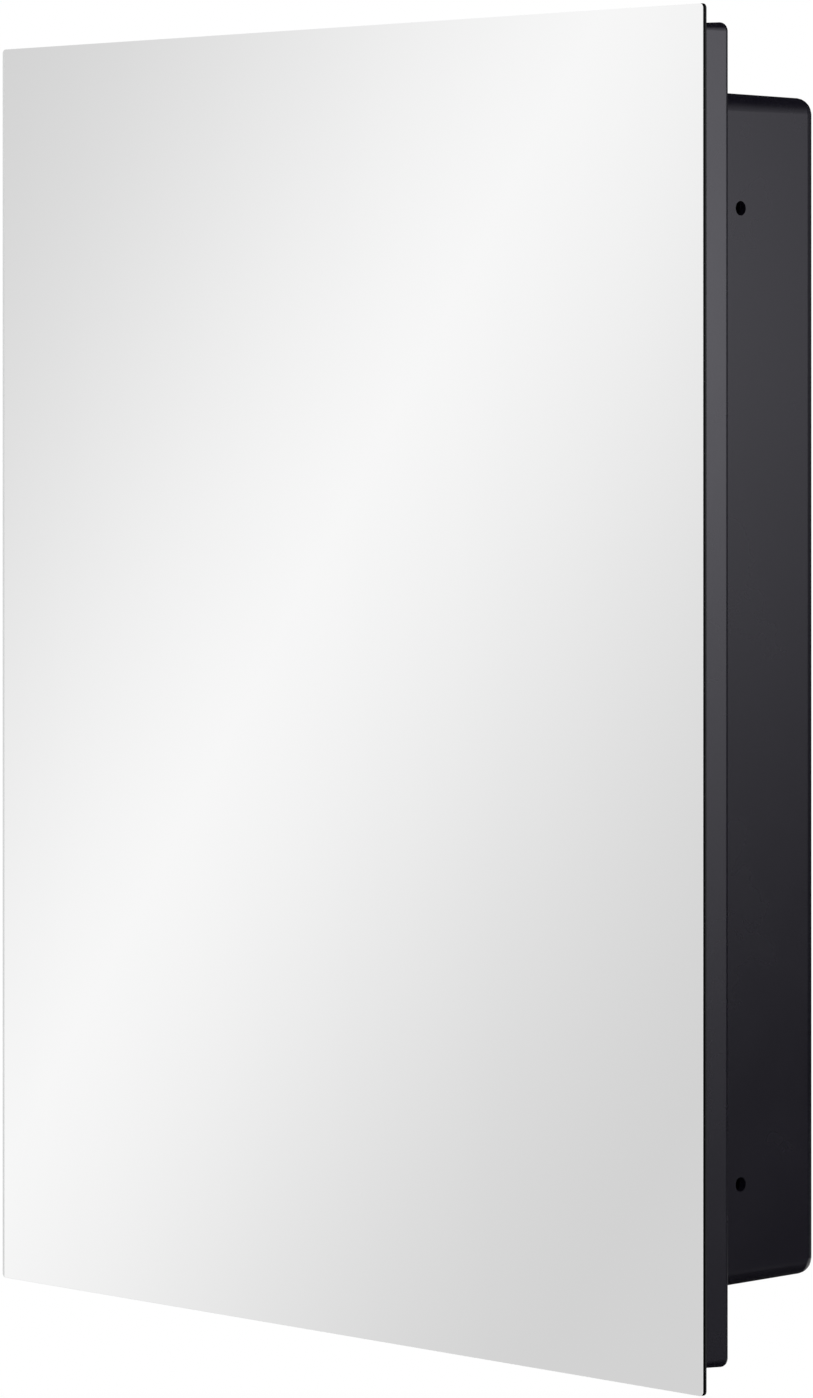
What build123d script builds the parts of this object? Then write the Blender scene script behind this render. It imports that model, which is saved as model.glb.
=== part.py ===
from build123d import *
import math
import os

# A medicine cabinet with a frameless mirror door, let into an opening in a wall.
# Sizes are in millimetres and degrees. X runs to the right, Y into the wall and Z up.
# The origin is the middle of the flange's back face, which lies on the finished wall.

# Mirror plate, how far its edge stands out past the door frame and the tub, and how low it hangs
mirror_width = 406.4
mirror_height = 508.0
mirror_thickness = 2.0
mirror_corner_radius = 2.5
mirror_arris = 0.4
mirror_overhang = 6.6
mirror_cover = 30.3
mirror_drop = 0.9

# Film and foam tape behind the mirror
film_thickness = 0.2
film_margin = 3.0
tape_thickness = 0.8
tape_width = 12.0
tape_margin = 4.0
tape_corner_gap = 2.4

# Door frame, a moulded tray that opens to the back
frame_depth = 18.0
frame_flare = 3.5
frame_corner_radius = 3.5
frame_inner_radius = 2.5
frame_rim_radius = 2.0
frame_wall = 2.5
frame_floor = 2.5
rib_thickness = 2.0
rib_columns = 2
rib_rows = 3
boss_radius = 4.0
boss_inset = 11.0

# Panel that closes the tray, and its screw holes
panel_thickness = 1.5
panel_inset = 1.0
panel_gap = 0.4
panel_hole_radius = 1.5
panel_pilot_radius = 1.2
panel_pilot_depth = 8.0

# Cabinet body, a moulded tub with a flange
body_depth = 68.6
body_draft = 0.95
body_wall = 3.0
body_corner_radius = 7.4
back_edge_share = 0.9
wall_bite = 1.0
flange_thickness = 2.5
flange_corner_radius = 6.0
flange_edge_chamfer = 0.8
door_gap = 1.5

# Screw holes in the body's sides
wall_hole_radius = 2.75
wall_hole_depth = 26.3
wall_hole_inset = 41.2
wall_hole_drop = 2.5

# Shelves and the ledges that carry them
shelf_thickness = 4.0
shelf_level = 73.0
shelf_gap = 0.8
shelf_corner_radius = 4.0
shelf_arris = 0.6
ledge_pitch = 32.0
ledge_depth = 5.0
ledge_thickness = 4.0
ledge_front = 5.0
ledge_end = 5.0
stop_length = 3.0
stop_height = 2.5

# Hinge at the left: ears on the flange, pins through them, bushes in the door frame
hinge_inset = 5.3
hinge_setback = 6.0
pin_radius = 2.0
pin_head_radius = 3.5
pin_head_height = 1.2
pin_tip_chamfer = 0.5
pin_reach = 12.0
bush_wall = 1.2
bush_length = 15.0
bush_flange_radius = 4.2
bush_flange_height = 1.5
bush_seat_depth = 0.2
hinge_block_width = 12.0
hinge_block_margin = 2.0
ear_radius = 4.2
ear_thickness = 4.0
ear_root_inset = 2.5
ear_root_width = 16.0

# Magnetic catch on the body's right side, and its strike plate on the door
catch_pad_depth = 4.0
catch_pad_margin = 3.0
catch_width = 13.0
catch_height = 30.0
catch_depth = 15.0
catch_chamfer = 1.3
catch_ear_length = 8.0
catch_ear_thickness = 3.0
catch_ear_inset = 3.0
catch_ear_breadth = 9.0
catch_ear_radius = 3.0
magnet_thickness = 6.0
magnet_height = 24.0
magnet_depth = 11.0
magnet_recess = 0.5
pole_thickness = 1.6
pocket_gap = 0.1
catch_hole_radius = 1.65
catch_pilot_radius = 1.3
catch_pilot_depth = 5.0
strike_width = 18.0
strike_height = 40.0
strike_thickness = 1.2
strike_corner_radius = 2.0

# Bumpers on the flange
bumper_radius = 4.5
bumper_slope = 1.2
bumper_drop = 32.0

# Clearances, and how far a cut runs past a face
running_gap = 0.05
snug_gap = 0.02
seat_gap = 0.2
rest_gap = 0.3
overcut = 1.0

# Places along Y, from the wall towards the room
flange_front = -flange_thickness
frame_back = flange_front - door_gap
frame_front = frame_back - frame_depth
frame_floor_back = frame_front + frame_floor
tape_front = frame_front - tape_thickness
film_front = tape_front - film_thickness
mirror_front = film_front - mirror_thickness
panel_back = frame_back - panel_inset
panel_front = panel_back - panel_thickness
body_inner_back = body_depth - body_wall

# Sizes that follow from the driving ones
flare_slope = math.tan(math.radians(frame_flare))
draft_slope = math.tan(math.radians(body_draft))
frame_width = mirror_width - 2 * mirror_overhang
frame_height = mirror_height - 2 * mirror_overhang
front_shrink = frame_depth * flare_slope
frame_front_half_width = frame_width / 2 - front_shrink
frame_front_half_height = frame_height / 2 - front_shrink
panel_shrink = frame_wall + (frame_back - panel_front) * flare_slope + panel_gap
panel_width = frame_width - 2 * panel_shrink
panel_height = frame_height - 2 * panel_shrink
body_width = mirror_width - 2 * mirror_cover
body_height = mirror_height - 2 * mirror_cover
body_half_width = body_width / 2
body_half_height = body_height / 2
inner_half_width = body_half_width - body_wall

# The flange ends in line with the hinge axis, so that the mirror's edge swings clear of it.
flange_half_width = frame_width / 2 - hinge_inset
flange_half_height = frame_height / 2 - hinge_inset
hinge_x = -flange_half_width
hinge_y = frame_front + hinge_setback
bush_radius = pin_radius + running_gap + bush_wall
bush_seat = frame_front_half_height - bush_seat_depth
bush_top = bush_seat + bush_flange_height
ear_inner = bush_top + rest_gap
ear_outer = ear_inner + ear_thickness


def upright(y):
    """A plane across the cabinet at y that faces the room, with its own Y along Z."""
    return Plane(origin=(0, y, 0), x_dir=(1, 0, 0), z_dir=(0, -1, 0))


def slab(width, height, radius, front, back):
    """A flat plate with rounded corners, centred on the Y axis."""
    return extrude(upright(back) * RectangleRounded(width, height, radius), back - front)


def box_between(low, high):
    """A box between two opposite corners."""
    size = [b - a for a, b in zip(low, high)]
    middle = [(a + b) / 2 for a, b in zip(low, high)]
    return Pos(*middle) * Box(*size)


def rod_y(x, z, radius, front, back):
    """A round rod along Y."""
    return extrude(upright(back) * Pos(x, z) * Circle(radius), back - front)


def rod_x(y, z, radius, left, right):
    """A round rod along X."""
    return Pos((left + right) / 2, y, z) * Rot(0, 90, 0) * Cylinder(radius, right - left)


def rod_z(x, y, radius, low, high):
    """A round rod along Z."""
    return Pos(x, y, (low + high) / 2) * Cylinder(radius, high - low)


def spread(count, span):
    """Places along a span, evenly spaced from end to end and centred on zero."""
    return [span * (i / (count - 1) - 0.5) for i in range(count)]


def both_ends(upper):
    """The upper piece of the hinge and the lower one, which is its mirror image."""
    return upper, mirror(upper, about=Plane.XY)


# Cabinet body


def tub(shrink, front, back):
    """The tub's drafted form with rounded back edges, made smaller all round by shrink."""
    grow = -front * draft_slope - shrink
    radius = body_corner_radius - shrink
    base = Plane(origin=(0, front, 0), x_dir=(1, 0, 0), z_dir=(0, 1, 0))
    outline = RectangleRounded(body_width + 2 * grow, body_height + 2 * grow, radius)
    solid = extrude(base * outline, back - front, taper=body_draft)
    edge_radius = back_edge_share * (radius - (back - front) * draft_slope)
    return fillet(solid.faces().sort_by(Axis.Y)[-1].edges(), edge_radius)


def flange():
    """The flat border that lies on the wall, with a softened front edge."""
    width = 2 * flange_half_width
    height = 2 * flange_half_height
    plate = slab(width, height, flange_corner_radius, flange_front, 0)
    return chamfer(plate.faces().sort_by(Axis.Y)[0].edges(), flange_edge_chamfer)


def hinge_ear():
    """The upper ear: a lug that carries the flange upwards, and an arm out to the hinge pin."""
    root_left = ear_root_inset - flange_half_width
    root_right = root_left + ear_root_width
    lug_low = (body_half_height + flange_half_height) / 2
    lug = box_between((root_left, flange_front, lug_low), (root_right, 0, ear_outer))
    root_middle = (root_left + root_right) / 2
    root = Pos(root_middle, flange_front / 2) * Rectangle(ear_root_width, flange_thickness)
    boss = Pos(hinge_x, hinge_y) * Circle(ear_radius)
    outline = make_hull(root.edges() + boss.edges())
    arm = extrude(Plane.XY.offset(ear_inner) * outline, ear_thickness)
    hole = rod_z(hinge_x, hinge_y, pin_radius + snug_gap, ear_inner - overcut, ear_outer + overcut)
    return lug + arm - hole


def ledge(side, level):
    """One shelf ledge with a stop at its front end, set into the side wall and short of the back."""
    inner = side * (inner_half_width - ledge_depth)
    outer = side * (inner_half_width + wall_bite)
    left, right = min(inner, outer), max(inner, outer)
    low = level - ledge_thickness / 2
    high = level + ledge_thickness / 2
    back = body_inner_back - ledge_end
    bar = box_between((left, ledge_front, low), (right, back, high))
    stop_low = (left, ledge_front, low - stop_height)
    stop_high = (right, ledge_front + stop_length, high + stop_height)
    return bar + box_between(stop_low, stop_high)


ledge_levels = [
    side * shelf_level + step * ledge_pitch for side in (-1, 1) for step in (-1, 0, 1)
]

# The catch sits on a pad inside the right wall, with its front in line with the flange's.
pad_face = inner_half_width - catch_pad_depth
pad_half_height = catch_height / 2 + catch_ear_length + catch_pad_margin
catch_front = flange_front
catch_back = catch_front + catch_depth
catch_x = pad_face - catch_width / 2
catch_hole_z = catch_height / 2 + catch_ear_length / 2
catch_hole_y = catch_front + catch_ear_inset + catch_ear_breadth / 2


def catch_pad():
    """The raised pad that brings the catch in from the drafted wall."""
    low = (pad_face, flange_front, -pad_half_height)
    high = (inner_half_width + wall_bite, catch_back + catch_pad_margin, pad_half_height)
    return box_between(low, high)


def cabinet_body():
    """The whole moulded body."""
    body = tub(0, 0, body_depth) + flange()
    body -= tub(body_wall, flange_front, body_inner_back)
    body += both_ends(hinge_ear())
    body += [ledge(side, level) for side in (-1, 1) for level in ledge_levels]
    body += catch_pad()
    wall_hole_z = body_half_height - wall_hole_inset
    for z in (-wall_hole_z, wall_hole_z):
        hole_z = z - wall_hole_drop
        body -= rod_x(wall_hole_depth, hole_z, wall_hole_radius, -body_width, body_width)
    for z in (-catch_hole_z, catch_hole_z):
        pilot_end = pad_face + catch_pilot_depth
        body -= rod_x(catch_hole_y, z, catch_pilot_radius, pad_face - overcut, pilot_end)
    return body


# Shelves


def shelf(level):
    """A glass shelf with ground arrises, on a pair of ledges between their stops and the tub's back."""
    front = ledge_front + stop_length + shelf_gap
    back = body_inner_back - shelf_gap
    width = 2 * (inner_half_width - back * draft_slope - shelf_gap)
    bottom = level + ledge_thickness / 2
    outline = Pos(0, (front + back) / 2) * RectangleRounded(width, back - front, shelf_corner_radius)
    plate = extrude(Plane.XY.offset(bottom) * outline, shelf_thickness)
    faces = plate.faces().sort_by(Axis.Z)
    return chamfer(faces[0].edges() + faces[-1].edges(), shelf_arris)


# Hinge pins and bushes


def hinge_pin():
    """The upper pin: its head on the ear, its shank down into the bush."""
    head = rod_z(hinge_x, hinge_y, pin_head_radius, ear_outer, ear_outer + pin_head_height)
    shank = rod_z(hinge_x, hinge_y, pin_radius, bush_top - pin_reach, ear_outer)
    shank = chamfer(shank.edges().group_by(Axis.Z)[0], pin_tip_chamfer)
    return head + shank


def hinge_bush():
    """The upper bush: a sleeve in the frame's corner with a flange under the ear."""
    sleeve = rod_z(hinge_x, hinge_y, bush_radius, bush_seat - bush_length, bush_seat)
    collar = rod_z(hinge_x, hinge_y, bush_flange_radius, bush_seat, bush_top)
    bore_low = bush_seat - bush_length - overcut
    bore = rod_z(hinge_x, hinge_y, pin_radius + running_gap, bore_low, bush_top + overcut)
    return sleeve + collar - bore


# Magnetic catch


def catch_housing():
    """The catch's shell: a block with a pocket at the front and a screw ear at each end."""
    low = (pad_face - catch_width, catch_front, -catch_height / 2)
    block = box_between(low, (pad_face, catch_back, catch_height / 2))
    block = chamfer(block.edges().filter_by(Axis.Z).sort_by(Axis.X)[:2], catch_chamfer)
    ear_reach = catch_height / 2 + catch_ear_length
    ear_front = catch_front + catch_ear_inset
    ear_low = (pad_face - catch_ear_thickness, ear_front, -ear_reach)
    ears = box_between(ear_low, (pad_face, ear_front + catch_ear_breadth, ear_reach))
    ears = fillet(ears.edges().filter_by(Axis.X), catch_ear_radius)
    half_pocket = magnet_thickness / 2 + pole_thickness + pocket_gap
    pocket_low = (catch_x - half_pocket, catch_front - overcut, -magnet_height / 2 - pocket_gap)
    pocket_back = catch_front + magnet_recess + magnet_depth + pocket_gap
    pocket = box_between(pocket_low, (catch_x + half_pocket, pocket_back, -pocket_low[2]))
    housing = block + ears - pocket
    for z in (-catch_hole_z, catch_hole_z):
        hole_start = pad_face - catch_ear_thickness - overcut
        housing -= rod_x(catch_hole_y, z, catch_hole_radius, hole_start, pad_face + overcut)
    return housing


def catch_magnet():
    """The magnet block between the pole plates."""
    front = catch_front + magnet_recess
    low = (catch_x - magnet_thickness / 2, front, -magnet_height / 2)
    return box_between(low, (catch_x + magnet_thickness / 2, front + magnet_depth, magnet_height / 2))


def catch_pole_plates():
    """Two steel plates that stand out of the housing and nearly meet the strike plate."""
    front = panel_back + strike_thickness + rest_gap
    back = catch_front + magnet_recess + magnet_depth
    plates = []
    for side in (-1, 1):
        near = catch_x + side * magnet_thickness / 2
        far = near + side * pole_thickness
        low = (min(near, far), front, -magnet_height / 2)
        plates.append(box_between(low, (max(near, far), back, magnet_height / 2)))
    return Compound(plates)


# Bumpers


def door_bumpers():
    """Two soft tapered buttons stuck to the flange, which stop just short of the closed door."""
    height = flange_front - panel_back - rest_gap
    x = (body_half_width + flange_half_width) / 2
    y = flange_front - height / 2
    button = Rot(90, 0, 0) * Cone(bumper_radius, bumper_radius - bumper_slope, height)
    levels = (bumper_drop - body_half_height, body_half_height - bumper_drop)
    return Compound([Pos(x, y, z) * button for z in levels])


# Mirror, its film and its tape


def mirror_glass():
    """The glass plate with its ground arrises."""
    plate = slab(mirror_width, mirror_height, mirror_corner_radius, mirror_front, film_front)
    faces = plate.faces().sort_by(Axis.Y)
    plate = chamfer(faces[0].edges() + faces[-1].edges(), mirror_arris)
    return Pos(0, 0, -mirror_drop) * plate


def mirror_backing():
    """The safety film on the back of the glass."""
    width = mirror_width - 2 * film_margin
    height = mirror_height - 2 * film_margin
    film = slab(width, height, mirror_corner_radius, film_front, tape_front)
    return Pos(0, 0, -mirror_drop) * film


def mirror_tape():
    """Four strips of foam tape round the front of the frame."""
    half_width = frame_front_half_width - tape_margin
    half_height = frame_front_half_height - tape_margin
    strips = []
    for side in (-1, 1):
        upright_x = side * (half_width - tape_width / 2)
        strip = Pos(upright_x, (tape_front + frame_front) / 2, 0)
        strips.append(strip * Box(tape_width, tape_thickness, 2 * half_height))
        level_z = side * (half_height - tape_width / 2)
        strip = Pos(0, (tape_front + frame_front) / 2, level_z)
        level_length = 2 * (half_width - tape_width - tape_corner_gap)
        strips.append(strip * Box(level_length, tape_thickness, tape_width))
    return Compound(strips)


# Door frame


def tray(shrink, radius, front):
    """The frame's flared form from its back rim to the front, made smaller all round by shrink."""
    outline = RectangleRounded(frame_width - 2 * shrink, frame_height - 2 * shrink, radius)
    return extrude(upright(frame_back) * outline, frame_back - front, taper=frame_flare)


def panel_screw_places():
    """Screw places in the corners of the back panel."""
    x = panel_width / 2 - boss_inset
    z = panel_height / 2 - boss_inset
    return [(-x, -z), (-x, z), (x, -z), (x, z)]


def hinge_block(outer):
    """The upper corner block that holds the bush, cut to the frame's own outline."""
    low_z = bush_seat - bush_length - hinge_block_margin
    right = hinge_x + hinge_block_width / 2
    back = hinge_y + hinge_block_width / 2
    block = box_between((-frame_width, frame_front, low_z), (right, back, frame_height))
    return block & outer


def door_frame():
    """The moulded tray with its ribs, screw bosses and hinge blocks."""
    outer = tray(0, frame_corner_radius, frame_front)
    outer = fillet(outer.faces().sort_by(Axis.Y)[-1].edges(), frame_rim_radius)
    frame = outer - tray(frame_wall, frame_inner_radius, frame_floor_back)
    rib_depth = panel_front - frame_floor_back
    rib_y = (panel_front + frame_floor_back) / 2
    ribs = [Pos(x, rib_y, 0) * Box(rib_thickness, rib_depth, panel_height)
            for x in spread(rib_columns + 2, panel_width)[1:-1]]
    ribs += [Pos(0, rib_y, z) * Box(panel_width, rib_depth, rib_thickness)
             for z in spread(rib_rows + 2, panel_height)[1:-1]]
    frame += ribs
    frame += [rod_y(x, z, boss_radius, frame_floor_back, panel_front) for x, z in panel_screw_places()]
    frame += both_ends(hinge_block(outer))
    for x, z in panel_screw_places():
        pilot_end = panel_front - panel_pilot_depth
        frame -= rod_y(x, z, panel_pilot_radius, pilot_end, panel_front + overcut)
    hole_low = bush_seat - bush_length - seat_gap
    hole = rod_z(hinge_x, hinge_y, bush_radius + snug_gap, hole_low, bush_seat)
    seat = rod_z(hinge_x, hinge_y, bush_flange_radius + seat_gap, bush_seat, bush_top)
    frame -= both_ends(hole + seat)
    return frame


# Back panel of the door, and the strike plate


def door_back_panel():
    """The sheet that closes the tray."""
    panel = slab(panel_width, panel_height, frame_inner_radius, panel_front, panel_back)
    for x, z in panel_screw_places():
        panel -= rod_y(x, z, panel_hole_radius, panel_front - overcut, panel_back + overcut)
    return panel


def strike_plate():
    """The steel plate, stuck to the panel, that the magnet's poles draw in."""
    outline = RectangleRounded(strike_width, strike_height, strike_corner_radius)
    face = upright(panel_back + strike_thickness) * Pos(catch_x, 0) * outline
    return extrude(face, strike_thickness)


pin_upper, pin_lower = both_ends(hinge_pin())
bush_upper, bush_lower = both_ends(hinge_bush())

pieces = {
    "cabinet_body": cabinet_body(),
    "shelf_upper": shelf(shelf_level),
    "shelf_lower": shelf(-shelf_level),
    "hinge_pin_upper": pin_upper,
    "hinge_pin_lower": pin_lower,
    "catch_housing": catch_housing(),
    "catch_magnet": catch_magnet(),
    "catch_pole_plates": catch_pole_plates(),
    "door_bumpers": door_bumpers(),
    "mirror_glass": mirror_glass(),
    "mirror_backing": mirror_backing(),
    "mirror_tape": mirror_tape(),
    "door_frame": door_frame(),
    "door_back_panel": door_back_panel(),
    "hinge_bush_upper": bush_upper,
    "hinge_bush_lower": bush_lower,
    "strike_plate": strike_plate(),
}

os.makedirs("parts", exist_ok=True)
for name, shape in pieces.items():
    export_step(shape, f"parts/{name}.step")
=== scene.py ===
import math
import bmesh
import bpy
from mathutils import Matrix, Vector


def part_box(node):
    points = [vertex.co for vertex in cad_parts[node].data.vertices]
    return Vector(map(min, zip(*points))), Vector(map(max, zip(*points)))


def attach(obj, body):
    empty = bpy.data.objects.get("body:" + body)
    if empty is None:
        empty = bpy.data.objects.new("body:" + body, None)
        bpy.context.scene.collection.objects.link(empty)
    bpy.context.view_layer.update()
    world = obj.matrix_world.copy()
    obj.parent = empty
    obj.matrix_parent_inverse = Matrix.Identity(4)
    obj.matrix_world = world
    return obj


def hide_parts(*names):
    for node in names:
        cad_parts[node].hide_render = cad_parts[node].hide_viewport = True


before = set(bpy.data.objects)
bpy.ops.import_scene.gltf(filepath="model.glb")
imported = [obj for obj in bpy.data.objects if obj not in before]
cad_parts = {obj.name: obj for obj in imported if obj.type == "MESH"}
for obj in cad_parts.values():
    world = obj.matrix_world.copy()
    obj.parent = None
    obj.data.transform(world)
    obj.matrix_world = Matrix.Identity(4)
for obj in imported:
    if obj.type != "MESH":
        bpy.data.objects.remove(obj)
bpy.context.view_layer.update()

# Cabinet body
# The tub that goes into the wall: one thin-walled moulding in charcoal plastic, with its flange,
# shelf ledges, hinge ears and catch pad. Wall screws through the four side holes hold it.
mm = 0.001
CHARCOAL_DEEP = (0.0047, 0.0041, 0.0079, 1.0)
CHARCOAL_PALE = (0.0056, 0.0049, 0.0092, 1.0)
CHARCOAL_RUBBED = (0.016, 0.0148, 0.021, 1.0)
# How much of the rubbed colour an edge shows
CHARCOAL_RUB = 0.4
# The part of a noise's range that a pattern uses
NOISE_LOW, NOISE_HIGH = 0.3, 0.7
# How far the rounded normal agrees with the face's own on a flat and on a rubbed edge
FLAT_MEET, RUBBED_MEET = 0.98, 0.80
# The places of a colour mix's sockets, which share their names with others
MIX_FACTOR, MIX_PLAIN, MIX_CHANGED, MIX_COLOUR = 0, 6, 7, 2


def feed(tree, socket, value):
    """Links a socket to another, or sets a plain value on it."""
    if isinstance(value, bpy.types.NodeSocket):
        tree.links.new(value, socket)
    else:
        socket.default_value = value


def put(tree, kind, settings=None, **inputs):
    """Adds a node with its settings, and feeds the inputs that are named."""
    made = tree.nodes.new(kind)
    for key, value in (settings or {}).items():
        setattr(made, key, value)
    for key, value in inputs.items():
        feed(tree, made.inputs[key.replace("_", " ")], value)
    return made


def reckon(tree, operation, *values):
    """Adds a Math node over plain numbers or sockets and gives its result."""
    made = put(tree, "ShaderNodeMath", {"operation": operation})
    for socket, value in zip(made.inputs, values):
        feed(tree, socket, value)
    return made.outputs[0]


def product(tree, first, *others):
    """Multiplies masks and numbers together."""
    for other in others:
        first = reckon(tree, "MULTIPLY", first, other)
    return first


def span(tree, value, low, high, to_low=0.0, to_high=1.0):
    """Maps a value from one range to another and holds it at the ends."""
    made = put(tree, "ShaderNodeMapRange", Value=value, From_Min=low, From_Max=high, To_Min=to_low,
               To_Max=to_high)
    return made.outputs["Result"]


def tint(tree, mask, plain, changed):
    """Mixes two colours by a mask."""
    made = put(tree, "ShaderNodeMix", {"data_type": "RGBA"})
    for place, value in ((MIX_FACTOR, mask), (MIX_PLAIN, plain), (MIX_CHANGED, changed)):
        feed(tree, made.inputs[place], value)
    return made.outputs[MIX_COLOUR]


def effect(name, sizes, masks):
    """Starts a shader group with named inputs and outputs."""
    group = bpy.data.node_groups.new(name, "ShaderNodeTree")
    for label, value in sizes.items():
        socket = group.interface.new_socket(label, in_out="INPUT", socket_type="NodeSocketFloat")
        socket.default_value = value
    for label in masks:
        group.interface.new_socket(label, in_out="OUTPUT", socket_type="NodeSocketFloat")
    return group, group.nodes.new("NodeGroupInput").outputs, group.nodes.new("NodeGroupOutput").inputs


def apply_effect(tree, group, **sizes):
    """Places a shader group in a material with that material's own sizes."""
    return put(tree, "ShaderNodeGroup", {"node_tree": group}, **sizes).outputs


def finish_for(name, **numbers):
    """Starts a material and sets the plain numbers on its shader."""
    material = bpy.data.materials.new(name)
    material.use_nodes = True
    shader = material.node_tree.nodes["Principled BSDF"]
    for key, value in numbers.items():
        shader.inputs[key.replace("_", " ")].default_value = value
    return material, material.node_tree, shader


def colour_by(tree, shader, mask, plain, changed):
    """Runs the base colour from plain to changed as the mask rises."""
    tree.links.new(tint(tree, mask, plain, changed), shader.inputs["Base Color"])


def gloss_by(tree, shader, mask, start, end, low=0.0, high=1.0):
    """Runs the roughness from start to end as the mask rises from low to high."""
    tree.links.new(span(tree, mask, low, high, start, end), shader.inputs["Roughness"])


def raise_grain(tree, shader, height, strength, depth):
    """Gives the surface its relief."""
    relief = put(tree, "ShaderNodeBump", Strength=strength, Distance=depth, Height=height)
    tree.links.new(relief.outputs["Normal"], shader.inputs["Normal"])


def object_spot(tree):
    """The place on the piece, in metres."""
    return put(tree, "ShaderNodeTexCoord").outputs["Object"]


def paint_node(name, material):
    """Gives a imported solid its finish."""
    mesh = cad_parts[name].data
    mesh.materials.clear()
    mesh.materials.append(material)


moulded_skin, size, out = effect(
    "moulded_skin", {"Grain Size": 0.5 * mm, "Mottle Size": 60 * mm}, ("Grain", "Mottle"))
spot = object_spot(moulded_skin)
pores = put(moulded_skin, "ShaderNodeTexNoise", Vector=spot, Detail=2.0, Roughness=0.5,
            Scale=reckon(moulded_skin, "DIVIDE", 1.0, size["Grain Size"]))
flow = put(moulded_skin, "ShaderNodeTexNoise", Vector=spot, Detail=4.0, Roughness=0.6, Distortion=0.4,
           Scale=reckon(moulded_skin, "DIVIDE", 1.0, size["Mottle Size"]))
moulded_skin.links.new(pores.outputs[0], out["Grain"])
moulded_skin.links.new(span(moulded_skin, flow.outputs[0], NOISE_LOW, NOISE_HIGH), out["Mottle"])

rubbed_edges, size, out = effect("rubbed_edges", {"Radius": 0.7 * mm}, ("Edge",))
rounded = put(rubbed_edges, "ShaderNodeBevel", {"samples": 4}, Radius=size["Radius"]).outputs["Normal"]
faced = put(rubbed_edges, "ShaderNodeNewGeometry").outputs["Normal"]
meet = put(rubbed_edges, "ShaderNodeVectorMath", {"operation": "DOT_PRODUCT"})
rubbed_edges.links.new(rounded, meet.inputs[0])
rubbed_edges.links.new(faced, meet.inputs[1])
rubbed_edges.links.new(span(rubbed_edges, meet.outputs["Value"], FLAT_MEET, RUBBED_MEET), out["Edge"])

charcoal, tree, shader = finish_for("charcoal_moulding", IOR=1.5)
skin = apply_effect(tree, moulded_skin, Grain_Size=0.45 * mm, Mottle_Size=55 * mm)
edge = apply_effect(tree, rubbed_edges, Radius=0.6 * mm)["Edge"]
tone = tint(tree, skin["Mottle"], CHARCOAL_DEEP, CHARCOAL_PALE)
colour_by(tree, shader, product(tree, edge, CHARCOAL_RUB), tone, CHARCOAL_RUBBED)
gloss_by(tree, shader, skin["Mottle"], start=0.25, end=0.28)
raise_grain(tree, shader, skin["Grain"], strength=0.12, depth=0.04 * mm)
paint_node("cabinet_body", charcoal)

# Glass shelves
# Two lift-out shelves of 4 mm clear float glass with ground edges. They rest on ledges moulded
# into the tub, and the closed door keeps them in.
GLASS_CLEAR = (0.95, 0.985, 0.97, 1.0)
GLASS_GROUND = (0.42, 0.74, 0.62, 1.0)
# Roughness of clean glass, and what wiping and grinding add to it
GLASS_SHARP, GLASS_HAZE, GLASS_FROST = 0.004, 0.03, 0.32
# How far a ground edge and a polished face look up or down
EDGE_TILT, FACE_TILT = 0.6, 0.9
WIPE_TURN, WIPE_STRETCH = (0.0, 0.6, 0.0), (1.0, 1.0, 0.2)
WIPE_FAINT, WIPE_PLAIN = 0.45, 0.8

wiped_haze, size, out = effect("wiped_haze", {"Wipe Length": 120 * mm}, ("Haze",))
wipe = put(wiped_haze, "ShaderNodeMapping", Vector=object_spot(wiped_haze), Rotation=WIPE_TURN,
           Scale=WIPE_STRETCH)
streaks = put(wiped_haze, "ShaderNodeTexNoise", Vector=wipe.outputs[0], Detail=6.0, Roughness=0.6,
              Distortion=0.8, Scale=reckon(wiped_haze, "DIVIDE", 1.0, size["Wipe Length"]))
wiped_haze.links.new(span(wiped_haze, streaks.outputs[0], WIPE_FAINT, WIPE_PLAIN), out["Haze"])

shelf_glass, tree, shader = finish_for("float_glass", IOR=1.52, Transmission_Weight=1.0)
upright = put(tree, "ShaderNodeSeparateXYZ", Vector=put(tree, "ShaderNodeNewGeometry").outputs["Normal"])
level = reckon(tree, "ABSOLUTE", upright.outputs["Z"])
ground = span(tree, level, EDGE_TILT, FACE_TILT, 1.0, 0.0)
colour_by(tree, shader, ground, GLASS_CLEAR, GLASS_GROUND)
haze = apply_effect(tree, wiped_haze, Wipe_Length=80 * mm)["Haze"]
hazed = reckon(tree, "MULTIPLY_ADD", haze, GLASS_HAZE, GLASS_SHARP)
tree.links.new(reckon(tree, "MULTIPLY_ADD", ground, GLASS_FROST, hazed), shader.inputs["Roughness"])
for name in ("shelf_upper", "shelf_lower"):
    paint_node(name, shelf_glass)

# Hinge pins
# Two turned steel pins with domed heads, zinc plated. Each is pushed through an ear of the tub at
# the left, and its shank stands in the nylon bush in the door frame.
PIN_RADIUS, PIN_HEAD_RADIUS, PIN_HEAD_HEIGHT = 2.0 * mm, 3.5 * mm, 1.2 * mm
# The nose in shares of the radius and in heights, and the head's foot and rim as shares of its size
PIN_NOSE = ((0.7, 0.0), (0.9, 0.2 * mm), (1.0, 0.6 * mm))
HEAD_FOOT, HEAD_BREAK, HEAD_RIM = 0.96, 0.1 * mm, 0.35
DOME_STEPS, DOME_STEP = 10, math.radians(9)
TURNED_STEPS, TURNED_SHARP = 48, math.radians(32)
ZINC_BRIGHT = (0.66, 0.665, 0.68, 1.0)
ZINC_DULL = (0.50, 0.505, 0.52, 1.0)
CLOUD_FAINT, CLOUD_PLAIN = 0.35, 0.65


def settle(shape, name):
    """Turns a built shape into a mesh whose faces point outwards."""
    bmesh.ops.recalc_face_normals(shape, faces=shape.faces)
    mesh = bpy.data.meshes.new(name)
    shape.to_mesh(mesh)
    shape.free()
    return mesh


def smooth_over(mesh, sharp):
    """Shades a mesh smooth but keeps edges that are sharper than an angle."""
    mesh.shade_smooth()
    mesh.set_sharp_from_angle(angle=sharp)


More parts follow.
